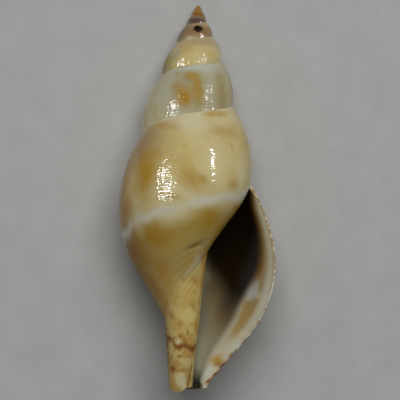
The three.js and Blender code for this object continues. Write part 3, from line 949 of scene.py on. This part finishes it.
def kept(tree, name):
    node = tree.nodes.new("GeometryNodeInputNamedAttribute")
    node.data_type = "FLOAT"
    node.inputs["Name"].default_value = name
    return node.outputs["Attribute"]


def held(tree, value, low, high):
    return calc(tree, "MAXIMUM", calc(tree, "MINIMUM", value, high), low)


def parts(tree):
    node = tree.nodes.new("ShaderNodeSeparateXYZ")
    tree.links.new(tree.nodes.new("GeometryNodeInputPosition").outputs[0], node.inputs[0])
    return node.outputs


def moved(tree, geometry, x, y, z):
    where = tree.nodes.new("ShaderNodeCombineXYZ")
    for socket, value in zip(where.inputs, (x, y, z)):
        tree.links.new(value, socket)
    node = tree.nodes.new("GeometryNodeSetPosition")
    tree.links.new(geometry, node.inputs["Geometry"])
    tree.links.new(where.outputs[0], node.inputs["Position"])
    return node.outputs[0]


p_turn, p_depth, p_radius = parts(coil)
wave = calc(coil, "DIVIDE", kept(coil, "thread"), coil_in["Cord spacing"])
wave = calc(coil, "COSINE", product(coil, wave, 2 * math.pi))
raised = product(coil, wave, coil_in["Cord height"], kept(coil, "cords"))
uneven = calc(coil, "MULTIPLY_ADD", p_turn, 9.0, coil_in["Unevenness seed"])
uneven = calc(coil, "SUBTRACT", mottle(coil, uneven, 1.0, dimensions="1D"), 0.5)
swell = product(coil, uneven, coil_in["Unevenness"], product(coil, p_radius, 0.2))
full_radius = calc(coil, "ADD", calc(coil, "ADD", p_radius, raised), swell)

near_lip = calc(coil, "POWER", held(coil, calc(coil, "ADD", p_turn, 1.0), 0.0, 1.0), 2.0)
middle_lip = calc(coil, "SINE", product(coil, held(coil, kept(coil, "share"), 0.0, 1.0), math.pi))
sweep = product(coil, near_lip, middle_lip, coil_in["Lip sweep"])
azimuth = calc(coil, "MULTIPLY_ADD", p_turn, 2 * math.pi, coil_in["Lip direction"])
azimuth = calc(coil, "ADD", azimuth, sweep)
bow = remap(coil, p_depth, coil_in["Bow start"], coil_in["Bow end"], 0.0, coil_in["Bow"])
coiled = moved(
    coil, coil_in["Wall"],
    calc(coil, "ADD", product(coil, full_radius, calc(coil, "COSINE", azimuth)), bow),
    product(coil, p_depth, -1.0),
    product(coil, full_radius, calc(coil, "SINE", azimuth)),
)
rolled = coil.nodes.new("GeometryNodeTransform")
coil.links.new(coiled, rolled.inputs["Geometry"])
coil.links.new(coil_in["Roll"], rolled.inputs["Rotation"])
laid = coil.nodes.new("GeometryNodeTransform")
coil.links.new(rolled.outputs[0], laid.inputs["Geometry"])
coil.links.new(coil_in["Pitch"], laid.inputs["Rotation"])
coil.links.new(coil_in["Shift"], laid.inputs["Translation"])
x, y, z = parts(coil)
z = calc(coil, "MAXIMUM", z, 0.0)
worn = moved(coil, laid.outputs[0], *(product(coil, value, coil_in["Scale"]) for value in (x, y, z)))
real = coil.nodes.new("GeometryNodeRealizeInstances")
coil.links.new(worn, real.inputs[0])
coated = coil.nodes.new("GeometryNodeSetMaterial")
coil.links.new(real.outputs[0], coated.inputs["Geometry"])
coil.links.new(coil_in["Material"], coated.inputs["Material"])
coil.links.new(coated.outputs[0], coil_out["Shell"])

growing = shell.modifiers.new("coil", "NODES")
growing.node_group = coil
ids = {item.name: item.identifier for item in coil.interface.items_tree if item.in_out == "INPUT"}
settings = {"Roll": (0.0, REST_ROLL, 0.0), "Pitch": (REST_PITCH, 0.0, 0.0), "Shift": REST_SHIFT}
for name, value in {**COIL_SIZES, **settings, "Material": glaze}.items():
    growing[ids[name]] = value

depsgraph = bpy.context.evaluated_depsgraph_get()
mesh = bpy.data.meshes.new_from_object(
    shell.evaluated_get(depsgraph), preserve_all_data_layers=True, depsgraph=depsgraph)
shell.modifiers.clear()
shell.data = mesh
mesh.name = "shell_surface"
mesh.shade_smooth()
mesh.set_sharp_from_angle(angle=math.radians(48))

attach(shell, "root")
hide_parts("shell")

# The floor
# A plain pale sheet of paper under the shell, not part of it. It takes the place of the black
# background of the photograph.

HALF_FLOOR = 1.5  # metres
PALE, PALER = (0.55, 0.55, 0.54), (0.59, 0.59, 0.58)

floor_mesh = bpy.data.meshes.new("floor")
corners = [(x * HALF_FLOOR, y * HALF_FLOOR, 0) for x, y in ((-1, -1), (1, -1), (1, 1), (-1, 1))]
floor_mesh.from_pydata(corners, [], [(0, 1, 2, 3)])
floor = bpy.data.objects.new("floor", floor_mesh)
bpy.context.scene.collection.objects.link(floor)
paper = bpy.data.materials.new("pale paper")
paper.use_nodes = True
tree = paper.node_tree
fibre = mottle(tree, tree.nodes.new("ShaderNodeTexCoord").outputs["Object"], 400, 4.0, 0.6)
tree.links.new(blended(tree, remap(tree, fibre, 0.3, 0.7), PALE, PALER),
               tree.nodes["Principled BSDF"].inputs["Base Color"])
tree.nodes["Principled BSDF"].inputs["Roughness"].default_value = 0.9
floor_mesh.materials.append(paper)

# The camera and the lights
# The camera looks down on the shell at the angle of the photograph. One large soft box lights
# the shell evenly, and two small lamps, to its left and right, show only as its reflections.

PICTURE, PIXEL = 400, 0.07645  # width of the photograph in pixels, and mm in one of them
SENSOR, DISTANCE = 36, 0.5  # mm, metres
VIEW_TILT, VIEW_TURN = 0.1151, 0.0567  # radians, of the shell to the camera
VIEW_RIGHT, VIEW_DOWN = 0.115, 15.05  # mm from the top of the axis to the middle of the picture

rest = Matrix.Rotation(REST_PITCH, 3, "X") @ Matrix.Rotation(REST_ROLL, 3, "Y")
cos_tilt, sin_tilt = math.cos(VIEW_TILT), math.sin(VIEW_TILT)
cos_turn, sin_turn = math.cos(VIEW_TURN), math.sin(VIEW_TURN)
toward = rest @ Vector((0, -sin_tilt, cos_tilt))
right = rest @ Vector((cos_turn, cos_tilt * sin_turn, sin_tilt * sin_turn))
up = rest @ Vector((-sin_turn, cos_tilt * cos_turn, sin_tilt * cos_turn))
centre = (REST_SHIFT + right * VIEW_RIGHT - up * VIEW_DOWN) * MM

camera = bpy.data.objects.new("camera", bpy.data.cameras.new("camera"))
camera.data.sensor_width = SENSOR
camera.data.lens = SENSOR * DISTANCE / (PICTURE * PIXEL * MM)
camera.data.clip_start, camera.data.clip_end = 0.01, 10
camera.matrix_world = Matrix.Translation(centre + toward * DISTANCE) @ Matrix(
    (right, up, toward)).transposed().to_4x4()
bpy.context.scene.collection.objects.link(camera)
bpy.context.scene.camera = camera


def soft_box(name, sideways, upward, distance, width, height, power, turned=0.0):
    """A lamp aimed at the shell; its angles are seen from the shell, off the camera's axis."""
    sideways, upward = math.radians(sideways), math.radians(upward)
    level = toward * math.cos(sideways) + right * math.sin(sideways)
    way = level * math.cos(upward) + up * math.sin(upward)
    lamp = bpy.data.lights.new(name, "AREA")
    lamp.shape = "RECTANGLE"
    lamp.size, lamp.size_y = width, height
    lamp.energy = power
    holder = bpy.data.objects.new(name, lamp)
    holder.matrix_world = Matrix.Translation(centre + way * distance) @ way.to_track_quat(
        "Z", "Y").to_matrix().to_4x4() @ Matrix.Rotation(math.radians(turned), 4, "Z")
    bpy.context.scene.collection.objects.link(holder)
    return holder


large_box = soft_box("large soft box", 6, 22, 0.55, 0.36, 0.36, 2.0)
large_box.visible_glossy = False
for lamp in (
    soft_box("left lamp", -38.5, 8, 0.4, 0.06, 0.16, 1.35),
    soft_box("right lamp", 49, 21, 0.4, 0.08, 0.02, 0.6, -15),
):
    lamp.visible_diffuse = False

world = bpy.data.worlds.new("studio")
bpy.context.scene.world = world
world.use_nodes = True
world.node_tree.nodes["Background"].inputs["Color"].default_value = (0.9, 0.95, 1.0, 1.0)
world.node_tree.nodes["Background"].inputs["Strength"].default_value = 0.05
bpy.context.scene.view_settings.view_transform = "Standard"
